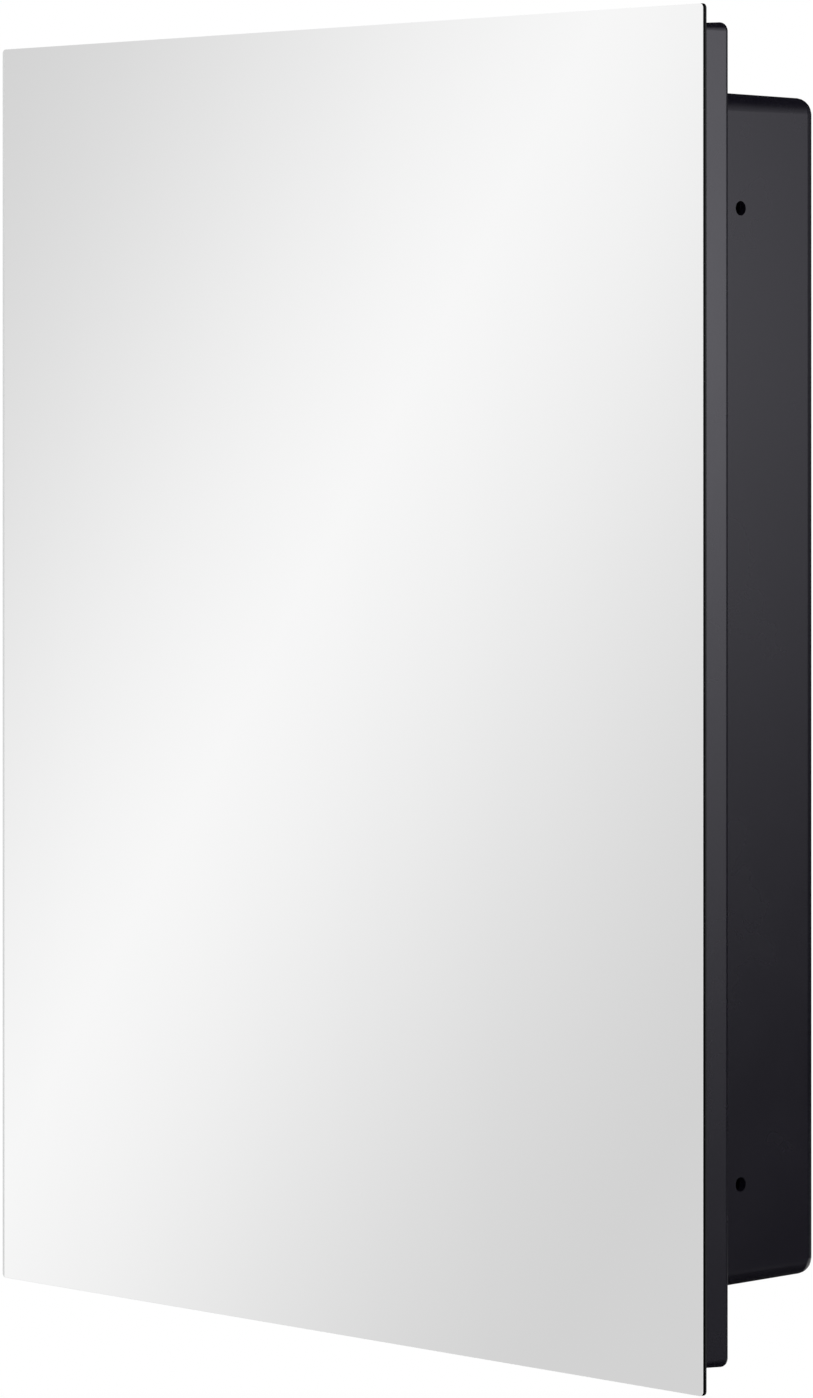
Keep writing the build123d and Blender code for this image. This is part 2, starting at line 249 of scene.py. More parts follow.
def stand(name, data):
    """Makes an object and puts it in the scene."""
    made = bpy.data.objects.new(name, data)
    bpy.context.scene.collection.objects.link(made)
    return made


def turned(name, profile, foot, along, finish):
    """A lathe-turned piece: profile gives (radius, height) from the foot, along is the axis."""
    shape = bmesh.new()
    turn = [2 * math.pi * i / TURNED_STEPS for i in range(TURNED_STEPS)]
    rings = []
    for radius, height in profile:
        around = [(radius * math.cos(a), radius * math.sin(a)) for a in turn] if radius else [(0.0, 0.0)]
        rings.append([shape.verts.new((x, y, height)) for x, y in around])
    for low, high in zip(rings, rings[1:]):
        for i in range(TURNED_STEPS):
            j = (i + 1) % TURNED_STEPS
            if len(low) == 1:
                shape.faces.new((low[0], high[j], high[i]))
            elif len(high) == 1:
                shape.faces.new((low[i], low[j], high[0]))
            else:
                shape.faces.new((low[i], low[j], high[j], high[i]))
    mesh = settle(shape, name)
    turned_to = Vector(along).to_track_quat("Z", "Y").to_matrix().to_4x4()
    mesh.transform(Matrix.Translation(Vector(foot)) @ turned_to)
    smooth_over(mesh, TURNED_SHARP)
    mesh.materials.append(finish)
    return stand(name, mesh)


drawn_streaks, size, out = effect(
    "drawn_streaks", {"Streak Width": 0.3 * mm, "Streak Length": 20 * mm}, ("Streak", "Cloud"))
spot = object_spot(drawn_streaks)
flat = put(drawn_streaks, "ShaderNodeSeparateXYZ", Vector=spot)
lie = put(drawn_streaks, "ShaderNodeCombineXYZ",
          X=reckon(drawn_streaks, "DIVIDE", flat.outputs["X"], size["Streak Width"]),
          Y=reckon(drawn_streaks, "DIVIDE", flat.outputs["Y"], size["Streak Width"]),
          Z=reckon(drawn_streaks, "DIVIDE", flat.outputs["Z"], size["Streak Length"]))
lines = put(drawn_streaks, "ShaderNodeTexNoise", Vector=lie.outputs[0], Scale=1.0, Detail=3.0, Roughness=0.6)
cloud = put(drawn_streaks, "ShaderNodeTexNoise", Vector=spot, Scale=220.0, Detail=3.0, Roughness=0.6)
drawn_streaks.links.new(lines.outputs[0], out["Streak"])
drawn_streaks.links.new(span(drawn_streaks, cloud.outputs[0], CLOUD_FAINT, CLOUD_PLAIN), out["Cloud"])

zinc, tree, shader = finish_for("bright_zinc", Metallic=1.0)
drawn = apply_effect(tree, drawn_streaks, Streak_Width=0.25 * mm, Streak_Length=12 * mm)
colour_by(tree, shader, drawn["Cloud"], ZINC_BRIGHT, ZINC_DULL)
gloss_by(tree, shader, drawn["Streak"], start=0.22, end=0.40, low=NOISE_LOW, high=NOISE_HIGH)
raise_grain(tree, shader, drawn["Streak"], strength=0.15, depth=0.03 * mm)

for side, up in (("upper", 1), ("lower", -1)):
    low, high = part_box("hinge_pin_" + side)
    length = high[2] - low[2]
    under_head = length - PIN_HEAD_HEIGHT
    outline = [(0.0, 0.0)] + [(PIN_RADIUS * share, height) for share, height in PIN_NOSE]
    outline += [(PIN_RADIUS, under_head), (PIN_HEAD_RADIUS * HEAD_FOOT, under_head),
                (PIN_HEAD_RADIUS, under_head + HEAD_BREAK)]
    for i in range(DOME_STEPS):
        swell = HEAD_RIM + (1.0 - HEAD_RIM) * math.sin(DOME_STEP * i)
        outline.append((PIN_HEAD_RADIUS * math.cos(DOME_STEP * i), under_head + PIN_HEAD_HEIGHT * swell))
    outline.append((0.0, length))
    foot = ((low[0] + high[0]) / 2, (low[1] + high[1]) / 2, low[2] if up > 0 else high[2])
    pin = turned("turned_pin_" + side, outline, foot, (0, 0, up), zinc)
    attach(pin, "cabinet")
    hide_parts("hinge_pin_" + side)

# Hinge bushes
# Two flanged bushes of natural white nylon, moulded, pressed into the door frame at the top and
# bottom of its left edge. The pins turn in them.
NYLON_DEEP = (0.78, 0.765, 0.71, 1.0)
NYLON_PALE = (0.84, 0.83, 0.785, 1.0)

nylon, tree, shader = finish_for("natural_nylon", IOR=1.53, Subsurface_Weight=0.15, Subsurface_Scale=1 * mm)
skin = apply_effect(tree, moulded_skin, Grain_Size=0.3 * mm, Mottle_Size=6 * mm)
colour_by(tree, shader, skin["Mottle"], NYLON_DEEP, NYLON_PALE)
gloss_by(tree, shader, skin["Mottle"], start=0.38, end=0.5)
raise_grain(tree, shader, skin["Grain"], strength=0.1, depth=0.03 * mm)
for name in ("hinge_bush_upper", "hinge_bush_lower"):
    paint_node(name, nylon)

# Magnetic catch
# A black plastic shell holds a ferrite block between two steel pole plates. Two small pan-head
# screws through the shell's ears fix it to the pad moulded in the right side of the tub.
CATCH_EAR_THICK, CATCH_SCREW_Y, CATCH_SCREW_APART = 3.0 * mm, 5.0 * mm, 38.0 * mm
SHELL_DEEP = (0.017, 0.017, 0.018, 1.0)
SHELL_PALE = (0.026, 0.026, 0.027, 1.0)
SHELL_RUBBED = (0.06, 0.06, 0.062, 1.0)
FERRITE_PALE = (0.075, 0.075, 0.08, 1.0)
FERRITE_DEEP = (0.035, 0.034, 0.037, 1.0)
GRIT_NEAR, GRIT_FAR = 0.1, 0.6
# The screw head's outline in shares of its height and radius, and its recess and tip as shares too
HEAD_CROWN = ((0.0, 0.97), (0.12, 1.0), (0.4, 0.98), (0.72, 0.86), (0.9, 0.68), (1.0, 0.48))
RECESS_LONG, RECESS_DEEP, SHANK_TIP = 1.15, 1.2, 0.55
CROWN_STEPS, HEAD_STEPS, SHANK_STEPS = 12, 32, 24
# A full turn in radians, and the places of a random value's sockets for plain numbers
FULL_TURN, RANDOM_MOST, RANDOM_TURN = 6.283, 3, 1
SCREW_SHARP = math.radians(30)

shell_plastic, tree, shader = finish_for("catch_shell_plastic", IOR=1.5)
skin = apply_effect(tree, moulded_skin, Grain_Size=0.4 * mm, Mottle_Size=12 * mm)
edge = apply_effect(tree, rubbed_edges, Radius=0.4 * mm)["Edge"]
colour_by(tree, shader, edge, tint(tree, skin["Mottle"], SHELL_DEEP, SHELL_PALE), SHELL_RUBBED)
gloss_by(tree, shader, skin["Mottle"], start=0.45, end=0.58)
raise_grain(tree, shader, skin["Grain"], strength=0.25, depth=0.06 * mm)
paint_node("catch_housing", shell_plastic)

ferrite, tree, shader = finish_for("pressed_ferrite", IOR=1.9)
spot = object_spot(tree)
grit = put(tree, "ShaderNodeTexVoronoi", Vector=spot, Scale=2600.0).outputs["Distance"]
dust = put(tree, "ShaderNodeTexNoise", Vector=spot, Scale=500.0, Detail=4.0).outputs[0]
colour_by(tree, shader, span(tree, grit, GRIT_NEAR, GRIT_FAR), FERRITE_PALE, FERRITE_DEEP)
gloss_by(tree, shader, dust, start=0.5, end=0.7, low=NOISE_LOW, high=NOISE_HIGH)
raise_grain(tree, shader, grit, strength=0.3, depth=0.08 * mm)
paint_node("catch_magnet", ferrite)
paint_node("catch_pole_plates", zinc)

screw_set = bpy.data.node_groups.new("pan_head_screws", "GeometryNodeTree")
screw_set.is_modifier = True
for label in ("Rows Apart", "Columns Apart", "Head Radius", "Head Height", "Shank Radius", "Shank Length",
              "Recess Width"):
    screw_set.interface.new_socket(label, in_out="INPUT", socket_type="NodeSocketFloat")
screw_set.interface.new_socket("Turn Seed", in_out="INPUT", socket_type="NodeSocketInt")
screw_set.interface.new_socket("Finish", in_out="INPUT", socket_type="NodeSocketMaterial")
screw_set.interface.new_socket("Screws", in_out="OUTPUT", socket_type="NodeSocketGeometry")
size = screw_set.nodes.new("NodeGroupInput").outputs
result = screw_set.nodes.new("NodeGroupOutput").inputs["Screws"]


def upward(value):
    """A vector along the screw's axis."""
    return put(screw_set, "ShaderNodeCombineXYZ", Z=value).outputs[0]


axis = put(screw_set, "GeometryNodeCurvePrimitiveLine", Start=(0.0, 0.0, 0.0),
           End=upward(size["Head Height"]))
stations = put(screw_set, "GeometryNodeResampleCurve", Curve=axis.outputs[0], Count=CROWN_STEPS)
along = put(screw_set, "GeometryNodeSplineParameter").outputs["Factor"]
crown = put(screw_set, "ShaderNodeFloatCurve", Value=along)
points = crown.mapping.curves[0].points
points[0].location, points[1].location = HEAD_CROWN[0], HEAD_CROWN[-1]
for place in HEAD_CROWN[1:-1]:
    points.new(*place)
crown.mapping.update()
section = put(screw_set, "GeometryNodeCurvePrimitiveCircle", Resolution=HEAD_STEPS, Radius=1.0)
head = put(screw_set, "GeometryNodeCurveToMesh", Curve=stations.outputs[0], Profile_Curve=section.outputs[0],
           Scale=product(screw_set, size["Head Radius"], crown.outputs[0]), Fill_Caps=True)
cut_long = product(screw_set, size["Head Radius"], RECESS_LONG)
cut_deep = product(screw_set, size["Head Height"], RECESS_DEEP)
cross = screw_set.nodes.new("GeometryNodeJoinGeometry")
for wide, long in ((size["Recess Width"], cut_long), (cut_long, size["Recess Width"])):
    slab = put(screw_set, "GeometryNodeMeshCube",
               Size=put(screw_set, "ShaderNodeCombineXYZ", X=wide, Y=long, Z=cut_deep).outputs[0])
    lifted = put(screw_set, "GeometryNodeTransform", Geometry=slab.outputs["Mesh"],
                 Translation=upward(size["Head Height"]))
    screw_set.links.new(lifted.outputs[0], cross.inputs[0])
recessed = put(screw_set, "GeometryNodeMeshBoolean", {"operation": "DIFFERENCE"}, Mesh_1=head.outputs[0],
               Mesh_2=cross.outputs[0])
shank = put(screw_set, "GeometryNodeMeshCone", Vertices=SHANK_STEPS, Radius_Top=size["Shank Radius"],
            Radius_Bottom=product(screw_set, size["Shank Radius"], SHANK_TIP), Depth=size["Shank Length"])
lowered = put(screw_set, "GeometryNodeTransform", Geometry=shank.outputs["Mesh"],
              Translation=upward(product(screw_set, size["Shank Length"], -1.0)))
whole = screw_set.nodes.new("GeometryNodeJoinGeometry")
screw_set.links.new(recessed.outputs[0], whole.inputs[0])
screw_set.links.new(lowered.outputs[0], whole.inputs[0])
grid = put(screw_set, "GeometryNodeMeshGrid", Vertices_X=2, Vertices_Y=2, Size_X=size["Columns Apart"],
           Size_Y=size["Rows Apart"])
places = put(screw_set, "GeometryNodeMergeByDistance", Geometry=grid.outputs["Mesh"], Distance=0.1 * mm)
turn = put(screw_set, "FunctionNodeRandomValue", {"data_type": "FLOAT"}, Seed=size["Turn Seed"])
turn.inputs[RANDOM_MOST].default_value = FULL_TURN
driven = put(screw_set, "GeometryNodeInstanceOnPoints", Points=places.outputs[0], Instance=whole.outputs[0],
             Rotation=upward(turn.outputs[RANDOM_TURN]))
single = put(screw_set, "GeometryNodeRealizeInstances", Geometry=driven.outputs[0])
dressed = put(screw_set, "GeometryNodeSetMaterial", Geometry=single.outputs[0], Material=size["Finish"])
screw_set.links.new(dressed.outputs[0], result)


def drive_screws(name, middle, head_way, across_way, body, **sizes):
    """Runs the screw tree with these sizes and sets the plain mesh in place on its body."""
    holder = stand(name, bpy.data.meshes.new(name + "_start"))
    modifier = holder.modifiers.new("screws", "NODES")
    modifier.node_group = screw_set
    for item in screw_set.interface.items_tree:
        if item.in_out == "INPUT":
            modifier[item.identifier] = sizes[item.name.replace(" ", "_")]
    ready = holder.evaluated_get(bpy.context.evaluated_depsgraph_get())
    mesh = bpy.data.meshes.new_from_object(ready)
    holder.modifiers.remove(modifier)
    head, across = Vector(head_way), Vector(across_way)
    turned_to = Matrix((across, head.cross(across), head)).transposed().to_4x4()
    mesh.transform(Matrix.Translation(Vector(middle)) @ turned_to)
    smooth_over(mesh, SCREW_SHARP)
    holder.data = mesh
    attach(holder, body)


ear_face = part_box("catch_housing")[1][0] - CATCH_EAR_THICK
drive_screws("catch_screws", (ear_face, CATCH_SCREW_Y, 0.0), (-1, 0, 0), (0, 1, 0), "cabinet",
             Rows_Apart=CATCH_SCREW_APART, Columns_Apart=0.0, Head_Radius=2.9 * mm, Head_Height=1.3 * mm,
             Shank_Radius=1.25 * mm, Shank_Length=7.0 * mm, Recess_Width=0.6 * mm, Turn_Seed=3, Finish=zinc)

# Door bumpers
# Two soft buttons of clear rubber with domed faces, stuck to the front of the flange at the right.
# The closing door meets them before it meets the tub.
RUBBER_DEEP = (0.80, 0.81, 0.79, 1.0)
RUBBER_PALE = (0.88, 0.89, 0.87, 1.0)
# The foot, the shoulder's flat and the crown's flat are shares of the button's radius
BUTTON_FOOT, BUTTON_BREAK, BUTTON_RIM = 0.93, 0.1 * mm, 0.3 * mm
SHOULDER_FLAT, SHOULDER_DROP = 0.70, 0.12 * mm
SHOULDER_STEPS, SHOULDER_STEP = 9, math.radians(10)
CROWN_FLAT, CROWN_DROP = 0.35, 0.03 * mm

clear_rubber, tree, shader = finish_for("clear_rubber", IOR=1.45, Transmission_Weight=0.55)
skin = apply_effect(tree, moulded_skin, Grain_Size=0.6 * mm, Mottle_Size=4 * mm)
colour_by(tree, shader, skin["Mottle"], RUBBER_DEEP, RUBBER_PALE)
gloss_by(tree, shader, skin["Mottle"], start=0.22, end=0.36)
raise_grain(tree, shader, skin["Grain"], strength=0.08, depth=0.03 * mm)

low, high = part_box("door_bumpers")
button_x, button_radius = (low[0] + high[0]) / 2, (high[0] - low[0]) / 2
button_height = high[1] - low[1]
shoulder_height = button_height - BUTTON_RIM - SHOULDER_DROP
button = [(0.0, 0.0), (button_radius * BUTTON_FOOT, 0.0), (button_radius, BUTTON_BREAK),
          (button_radius, BUTTON_RIM)]
for i in range(1, SHOULDER_STEPS + 1):
    reach = SHOULDER_FLAT + (1.0 - SHOULDER_FLAT) * math.cos(SHOULDER_STEP * i)
    button.append((button_radius * reach, BUTTON_RIM + shoulder_height * math.sin(SHOULDER_STEP * i)))
button += [(button_radius * CROWN_FLAT, button_height - CROWN_DROP), (0.0, button_height)]
for side, height in (("upper", high[2] - button_radius), ("lower", low[2] + button_radius)):
    stuck = turned("rubber_button_" + side, button, (button_x, high[1], height), (0, -1, 0), clear_rubber)
    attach(stuck, "cabinet")
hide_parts("door_bumpers")

# Door frame
# The tray behind the mirror: a charcoal moulding with flared walls, ribs, screw bosses and a block
# for each hinge bush. The mirror is taped to its front.
paint_node("door_frame", charcoal)

# Back panel and its screws
# A sheet of matt charcoal plastic with a fine hair-cell grain that closes the tray. Four small
# pan-head screws hold it to bosses in the corners.
PANEL_SCREW_INSET = 11.0 * mm
PANEL_DEEP = (0.022, 0.0215, 0.0245, 1.0)
PANEL_PALE = (0.030, 0.0292, 0.033, 1.0)
PANEL_RUB = 0.5
CELL_WIDE = 0.7

panel_plastic, tree, shader = finish_for("hair_cell_sheet", IOR=1.5)
cells = put(tree, "ShaderNodeTexVoronoi", {"feature": "SMOOTH_F1"}, Vector=object_spot(tree), Scale=1100.0,
            Smoothness=0.4).outputs["Distance"]
skin = apply_effect(tree, moulded_skin, Grain_Size=0.5 * mm, Mottle_Size=50 * mm)
edge = apply_effect(tree, rubbed_edges, Radius=0.4 * mm)["Edge"]
tone = tint(tree, skin["Mottle"], PANEL_DEEP, PANEL_PALE)
colour_by(tree, shader, product(tree, edge, PANEL_RUB), tone, CHARCOAL_RUBBED)
gloss_by(tree, shader, cells, start=0.42, end=0.60, high=CELL_WIDE)
raise_grain(tree, shader, cells, strength=0.35, depth=0.12 * mm)
paint_node("door_back_panel", panel_plastic)

low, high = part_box("door_back_panel")
drive_screws("panel_screws", (0.0, high[1], 0.0), (0, 1, 0), (1, 0, 0), "door",
             Rows_Apart=high[2] - low[2] - 2 * PANEL_SCREW_INSET,
             Columns_Apart=high[0] - low[0] - 2 * PANEL_SCREW_INSET,
             Head_Radius=2.8 * mm, Head_Height=1.0 * mm, Shank_Radius=1.15 * mm, Shank_Length=7.0 * mm,
             Recess_Width=0.55 * mm, Turn_Seed=11, Finish=zinc)

# Strike plate
# A small plate of zinc plated steel that the magnet holds. It is stuck to the back panel at the
# height of the catch.
paint_node("strike_plate", zinc)

# Foam tape
# Four strips of black closed-cell foam tape between the frame and the mirror. They carry the
# glass, because it has no clips.
FOAM_DEEP = (0.012, 0.012, 0.012, 1.0)
FOAM_PALE = (0.04, 0.04, 0.04, 1.0)
BUBBLE_WIDE = 0.8

foam, tree, shader = finish_for("closed_cell_foam", IOR=1.45)
bubbles = put(tree, "ShaderNodeTexVoronoi", Vector=object_spot(tree), Scale=2200.0).outputs["Distance"]
colour_by(tree, shader, bubbles, FOAM_DEEP, FOAM_PALE)
gloss_by(tree, shader, bubbles, start=0.75, end=0.92, high=BUBBLE_WIDE)
raise_grain(tree, shader, bubbles, strength=0.5, depth=0.2 * mm)
paint_node("mirror_tape", foam)

# Safety film
# A grey woven film stuck over the back of the silvering. It keeps the pieces together if the
# glass breaks.
FILM_DEEP = (0.30, 0.30, 0.30, 1.0)
FILM_PALE = (0.48, 0.48, 0.475, 1.0)

film, tree, shader = finish_for("woven_film", IOR=1.48)
spot = object_spot(tree)
warp, weft = [put(tree, "ShaderNodeTexWave", {"bands_direction": way}, Vector=spot, Scale=150.0,
                  Distortion=0.6).outputs["Fac"] for way in ("X", "Z")]
weave = reckon(tree, "MAXIMUM", warp, weft)
colour_by(tree, shader, weave, FILM_DEEP, FILM_PALE)
gloss_by(tree, shader, weave, start=0.65, end=0.45)
raise_grain(tree, shader, weave, strength=0.3, depth=0.1 * mm)
paint_node("mirror_backing", film)

# Mirror
# A plate of 2 mm float glass, silvered at the back, with a ground arris all round. Its edge is painted in a
# black line and a dark grey one, a painted dark reflection, and at the left a pale grey line painted on the
# silvered face is a painted reflection of the edge seen through the glass.
MIRROR_CORNER, FRONT_ARRIS, BACK_ARRIS = 1.8 * mm, 0.13 * mm, 0.1 * mm
# The black line painted on the edge as dark reflection, and the pale grey strip painted at the left as
# reflection
PAINTED_DARK_BAND, THROUGH_GLASS_STRIP = 1.15 * mm, 1.3 * mm
CORNER_STEPS, PLATE_SHARP = 8, math.radians(30)
SILVER_CLEAN = (0.930, 0.930, 0.930, 1.0)
SILVER_WIPED = (0.922, 0.923, 0.924, 1.0)
PAINT_DEEP = (0.055, 0.057, 0.06, 1.0)
PAINT_PALE = (0.075, 0.077, 0.08, 1.0)
# The order of the plate's finishes
SILVER, ARRIS, PAINTED_BLACK, PAINTED_GREY, PAINT, PAINTED_THROUGH_GLASS = range(6)
low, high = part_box("mirror_glass")
half_wide, half_tall, front, back = high[0], (high[2] - low[2]) / 2, low[1], high[1]
plate_middle = (low[2] + high[2]) / 2

silver, tree, shader = finish_for("silvered_glass", Metallic=1.0, Roughness=0.0)
haze = apply_effect(tree, wiped_haze, Wipe_Length=100 * mm)["Haze"]
colour_by(tree, shader, haze, SILVER_CLEAN, SILVER_WIPED)


def ground_finish(name, grain, mottle, deep, pale, smooth, rough, **numbers):
    """A finish for one line along the plate's edge: the ground arris, or a line of painted reflection."""
    material, tree, shader = finish_for(name, **numbers)
    skin = apply_effect(tree, moulded_skin, Grain_Size=grain, Mottle_Size=mottle)
    colour_by(tree, shader, skin["Mottle"], deep, pale)
    gloss_by(tree, shader, skin["Grain"], smooth, rough, NOISE_LOW, NOISE_HIGH)
    return material


arris = ground_finish(
    "ground_arris", grain=0.2 * mm, mottle=4 * mm, smooth=0.18, rough=0.3, Metallic=1.0,
    deep=(0.93, 0.935, 0.935, 1.0), pale=(0.97, 0.975, 0.975, 1.0))
# The edge's black and dark grey lines are painted dark reflection, not the ground glass's own colour
painted_black_edge = ground_finish(
    "glass_edge_black", grain=0.3 * mm, mottle=10 * mm, smooth=0.3, rough=0.4, Specular_IOR_Level=0.04,
    deep=(0.0006, 0.0008, 0.0008, 1.0), pale=(0.0014, 0.0017, 0.0016, 1.0))
painted_grey_edge = ground_finish(
    "glass_edge_grey", grain=0.3 * mm, mottle=10 * mm, smooth=0.35, rough=0.5, Specular_IOR_Level=0.1,
    deep=(0.019, 0.020, 0.020, 1.0), pale=(0.024, 0.025, 0.025, 1.0))
# A pale grey strip painted on the silvered face at the left: a painted reflection of the edge seen through
# the glass
painted_through_glass = ground_finish(
    "glass_left_grey", grain=0.3 * mm, mottle=20 * mm, smooth=0.35, rough=0.5, Metallic=1.0,
    deep=(0.77, 0.775, 0.775, 1.0), pale=(0.81, 0.815, 0.815, 1.0))

back_paint, tree, shader = finish_for("mirror_back_paint", IOR=1.5)
skin = apply_effect(tree, moulded_skin, Grain_Size=0.8 * mm, Mottle_Size=30 * mm)
colour_by(tree, shader, skin["Mottle"], PAINT_DEEP, PAINT_PALE)
gloss_by(tree, shader, skin["Mottle"], start=0.5, end=0.62)
raise_grain(tree, shader, skin["Grain"], strength=0.15, depth=0.05 * mm)


def plate_ring(shape, inset, depth):
    """One ring of points round the plate, inset from its outer edge, at a depth."""
    radius = MIRROR_CORNER - inset
    ring = []
    for quarter, (x_way, z_way) in enumerate(((1, 1), (-1, 1), (-1, -1), (1, -1))):
        for step in range(CORNER_STEPS + 1):
            a = math.radians(90 * quarter + 90 * step / CORNER_STEPS)
            x = x_way * (half_wide - MIRROR_CORNER) + radius * math.cos(a)
            z = plate_middle + z_way * (half_tall - MIRROR_CORNER) + radius * math.sin(a)
            ring.append(shape.verts.new((x, depth, z)))
    return ring


shape = bmesh.new()
# Past the arris the edge is painted black as dark reflection for one band, and dark grey behind it
rings = [plate_ring(shape, inset, depth) for inset, depth in (
    (FRONT_ARRIS, front), (0.0, front + FRONT_ARRIS), (0.0, front + FRONT_ARRIS + PAINTED_DARK_BAND),
    (0.0, back - BACK_ARRIS), (BACK_ARRIS, back))]
face = shape.faces.new(rings[0])
shape.faces.new(list(reversed(rings[-1]))).material_index = PAINT
for near, far, line in zip(rings, rings[1:], (ARRIS, PAINTED_BLACK, PAINTED_GREY, PAINTED_GREY)):
    for i in range(len(near)):
        j = (i + 1) % len(near)
        shape.faces.new((near[i], near[j], far[j], far[i])).material_index = line
# Cuts off the strip at the left that is painted as a reflection of the edge seen through the glass
line_at = -half_wide + THROUGH_GLASS_STRIP
bmesh.ops.bisect_plane(shape, geom=[face, *face.edges, *face.verts], plane_co=(line_at, front, 0.0),
                       plane_no=(1.0, 0.0, 0.0))
for face in shape.faces:
    if face.material_index == SILVER and face.calc_center_median().x < line_at:
        face.material_index = PAINTED_THROUGH_GLASS
mesh = settle(shape, "mirror_plate")
smooth_over(mesh, PLATE_SHARP)
for finish in (silver, arris, painted_black_edge, painted_grey_edge, back_paint, painted_through_glass):
    mesh.materials.append(finish)
mirror = stand("mirror_plate", mesh)
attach(mirror, "door")
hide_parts("mirror_glass")

# Studio
# A wide pale floor and a white world. Boards that only reflections see give the mirror its soft
# diagonal bands, shut or open, and the plastic its sheen, and soft lamps light the rest.
FLOOR_LEVEL, FLOOR_HALF = -1.0, 60.0
BOARD_FOOT = FLOOR_LEVEL + 0.01
# How fast the bands run with height, how far apart and how soft they are, and how much they dim
BAND_DOWN, BAND_APART, BAND_SOFT, BAND_DIM = -0.607, 1.1, 0.74, 0.153


def board(name, corners, finish):
    """A studio sheet from rows of corner points."""
    sheet = bpy.data.meshes.new(name)
    across = len(corners[0])
    points = [point for row in corners for point in row]
    faces = [(r * across + c, r * across + c + 1, (r + 1) * across + c + 1, (r + 1) * across + c)
             for r in range(len(corners) - 1) for c in range(across - 1)]
    sheet.from_pydata(points, [], faces)
    sheet.materials.append(finish)
    made = stand(name, sheet)
    return made


def glow_board(name, corners, finish):
    """A sheet that only reflections see."""
    made = board(name, corners, finish)
    made.visible_camera = made.visible_diffuse = made.visible_shadow = False
    made.visible_transmission = made.visible_volume_scatter = False


def glow_finish(name):
    """A material with an emission shader only, and the place on its board."""
    material = bpy.data.materials.new(name)
    material.use_nodes = True
    tree = material.node_tree
    tree.nodes.clear()
    glow = tree.nodes.new("ShaderNodeEmission")
    flat = put(tree, "ShaderNodeSeparateXYZ", Vector=object_spot(tree))
    return material, tree, glow, flat.outputs


def soft_edge(tree, value, none, full):
    """A smooth mask that rises from one place to another."""
    made = put(tree, "ShaderNodeMapRange", {"interpolation_type": "SMOOTHSTEP"}, Value=value, From_Min=none,
               From_Max=full)
    return made.outputs["Result"]


def show_through(tree, output, mask, under, over):
    """Ends a material with two shaders, the second one where the mask is high."""
    blend = put(tree, "ShaderNodeMixShader", Fac=mask)
    tree.links.new(under.outputs[0], blend.inputs[1])
    tree.links.new(over.outputs[0], blend.inputs[2])
    tree.links.new(blend.outputs[0], output.inputs["Surface"])


def thin_out(tree, glow, cover):
    """Lets a board fade to nothing where its cover is low."""
    output = tree.nodes.new("ShaderNodeOutputMaterial")
    show_through(tree, output, cover, tree.nodes.new("ShaderNodeBsdfTransparent"), glow)


def lay_bands(tree, glow, aslant):
    """Shades a board in soft slanted bands."""
    away = reckon(tree, "PINGPONG", aslant, BAND_APART)
    dim = reckon(tree, "ADD", span(tree, away, 0.0, BAND_SOFT), soft_edge(tree, away, 0.0, BAND_SOFT))
    tree.links.new(reckon(tree, "MULTIPLY_ADD", dim, -BAND_DIM, 1.0), glow.inputs["Strength"])


# The board in front, which the shut mirror shows: a wall with a foot on the floor
BAND_HALF, BAND_FAR, BAND_NEAR, BAND_TOP = 6.0, -2.6, -0.35, 2.6
BAND_ACROSS, BAND_START, BAND_CALM = 0.795, 2.2588, 0.955
band_finish, tree, glow, at = glow_finish("diagonal_band")
down = reckon(tree, "SUBTRACT", at["Z"], reckon(tree, "SUBTRACT", at["Y"], BAND_FAR))
aslant = reckon(tree, "MULTIPLY_ADD", at["X"], BAND_ACROSS,
                reckon(tree, "MULTIPLY_ADD", down, BAND_DOWN, BAND_START))
lay_bands(tree, glow, reckon(tree, "MAXIMUM", aslant, product(tree, aslant, BAND_CALM)))
thin_out(tree, glow, product(
    tree,
    soft_edge(tree, at["X"], none=-BAND_HALF, full=-4.0),
    soft_edge(tree, at["X"], none=BAND_HALF, full=3.0),
    soft_edge(tree, at["Z"], none=BAND_TOP, full=1.2),
    soft_edge(tree, at["Y"], none=BAND_NEAR, full=-2.0)))
glow_board("band_board", [[(x, y, z) for x in (-BAND_HALF, BAND_HALF)] for y, z in (
    (BAND_NEAR, BOARD_FOOT), (BAND_FAR, BOARD_FOOT), (BAND_FAR, BAND_TOP))], band_finish)

# The board at the left and back, which only sharp reflections see: the open mirror shows it
LEFT_RADIUS, LEFT_TOP, LEFT_STEPS = 2.4, 2.6, 40
LEFT_FROM, LEFT_TO = -1.75, 0.35
LEFT_ACROSS, LEFT_START = 1.9, 0.5
left_finish, tree, glow, at = glow_finish("left_band")
about = reckon(tree, "ARCTAN2", at["X"], at["Y"])
down = reckon(tree, "MULTIPLY_ADD", at["Z"], BAND_DOWN, LEFT_START)
lay_bands(tree, glow, reckon(tree, "MULTIPLY_ADD", about, LEFT_ACROSS, down))
sharp = put(tree, "ShaderNodeLightPath").outputs["Is Singular Ray"]
thin_out(tree, glow, product(
    tree, sharp,
    soft_edge(tree, about, none=LEFT_FROM, full=-1.4),
    soft_edge(tree, about, none=LEFT_TO, full=0.1),
    soft_edge(tree, at["Z"], none=-0.98, full=-0.5),
    soft_edge(tree, at["Z"], none=LEFT_TOP, full=1.6)))
sweep = [LEFT_FROM + (LEFT_TO - LEFT_FROM) * i / LEFT_STEPS for i in range(LEFT_STEPS + 1)]
glow_board("left_board", [[(LEFT_RADIUS * math.sin(a), LEFT_RADIUS * math.cos(a), z) for a in sweep]
                          for z in (BOARD_FOOT, LEFT_TOP)], left_finish)

# The board at the right and back, which gives the plastic its sheen and which the mirror skips. Where it is
# dark it is a dark sheet that only reflections see, put there so the plastic's top and bottom edges and back
# rim look dark
SHEEN_RADIUS, SHEEN_INNER, SHEEN_WAIST, SHEEN_TOP = 2.0, 0.45, 1.2, 3.6
SHEEN_FROM, SHEEN_SWEEP, SHEEN_STEPS = math.radians(10), math.radians(148), 37
SHEEN_COLOUR, SHEEN_STRENGTH, UNDER_STRENGTH = (1.0, 0.985, 1.07, 1.0), 4.13, 0.16
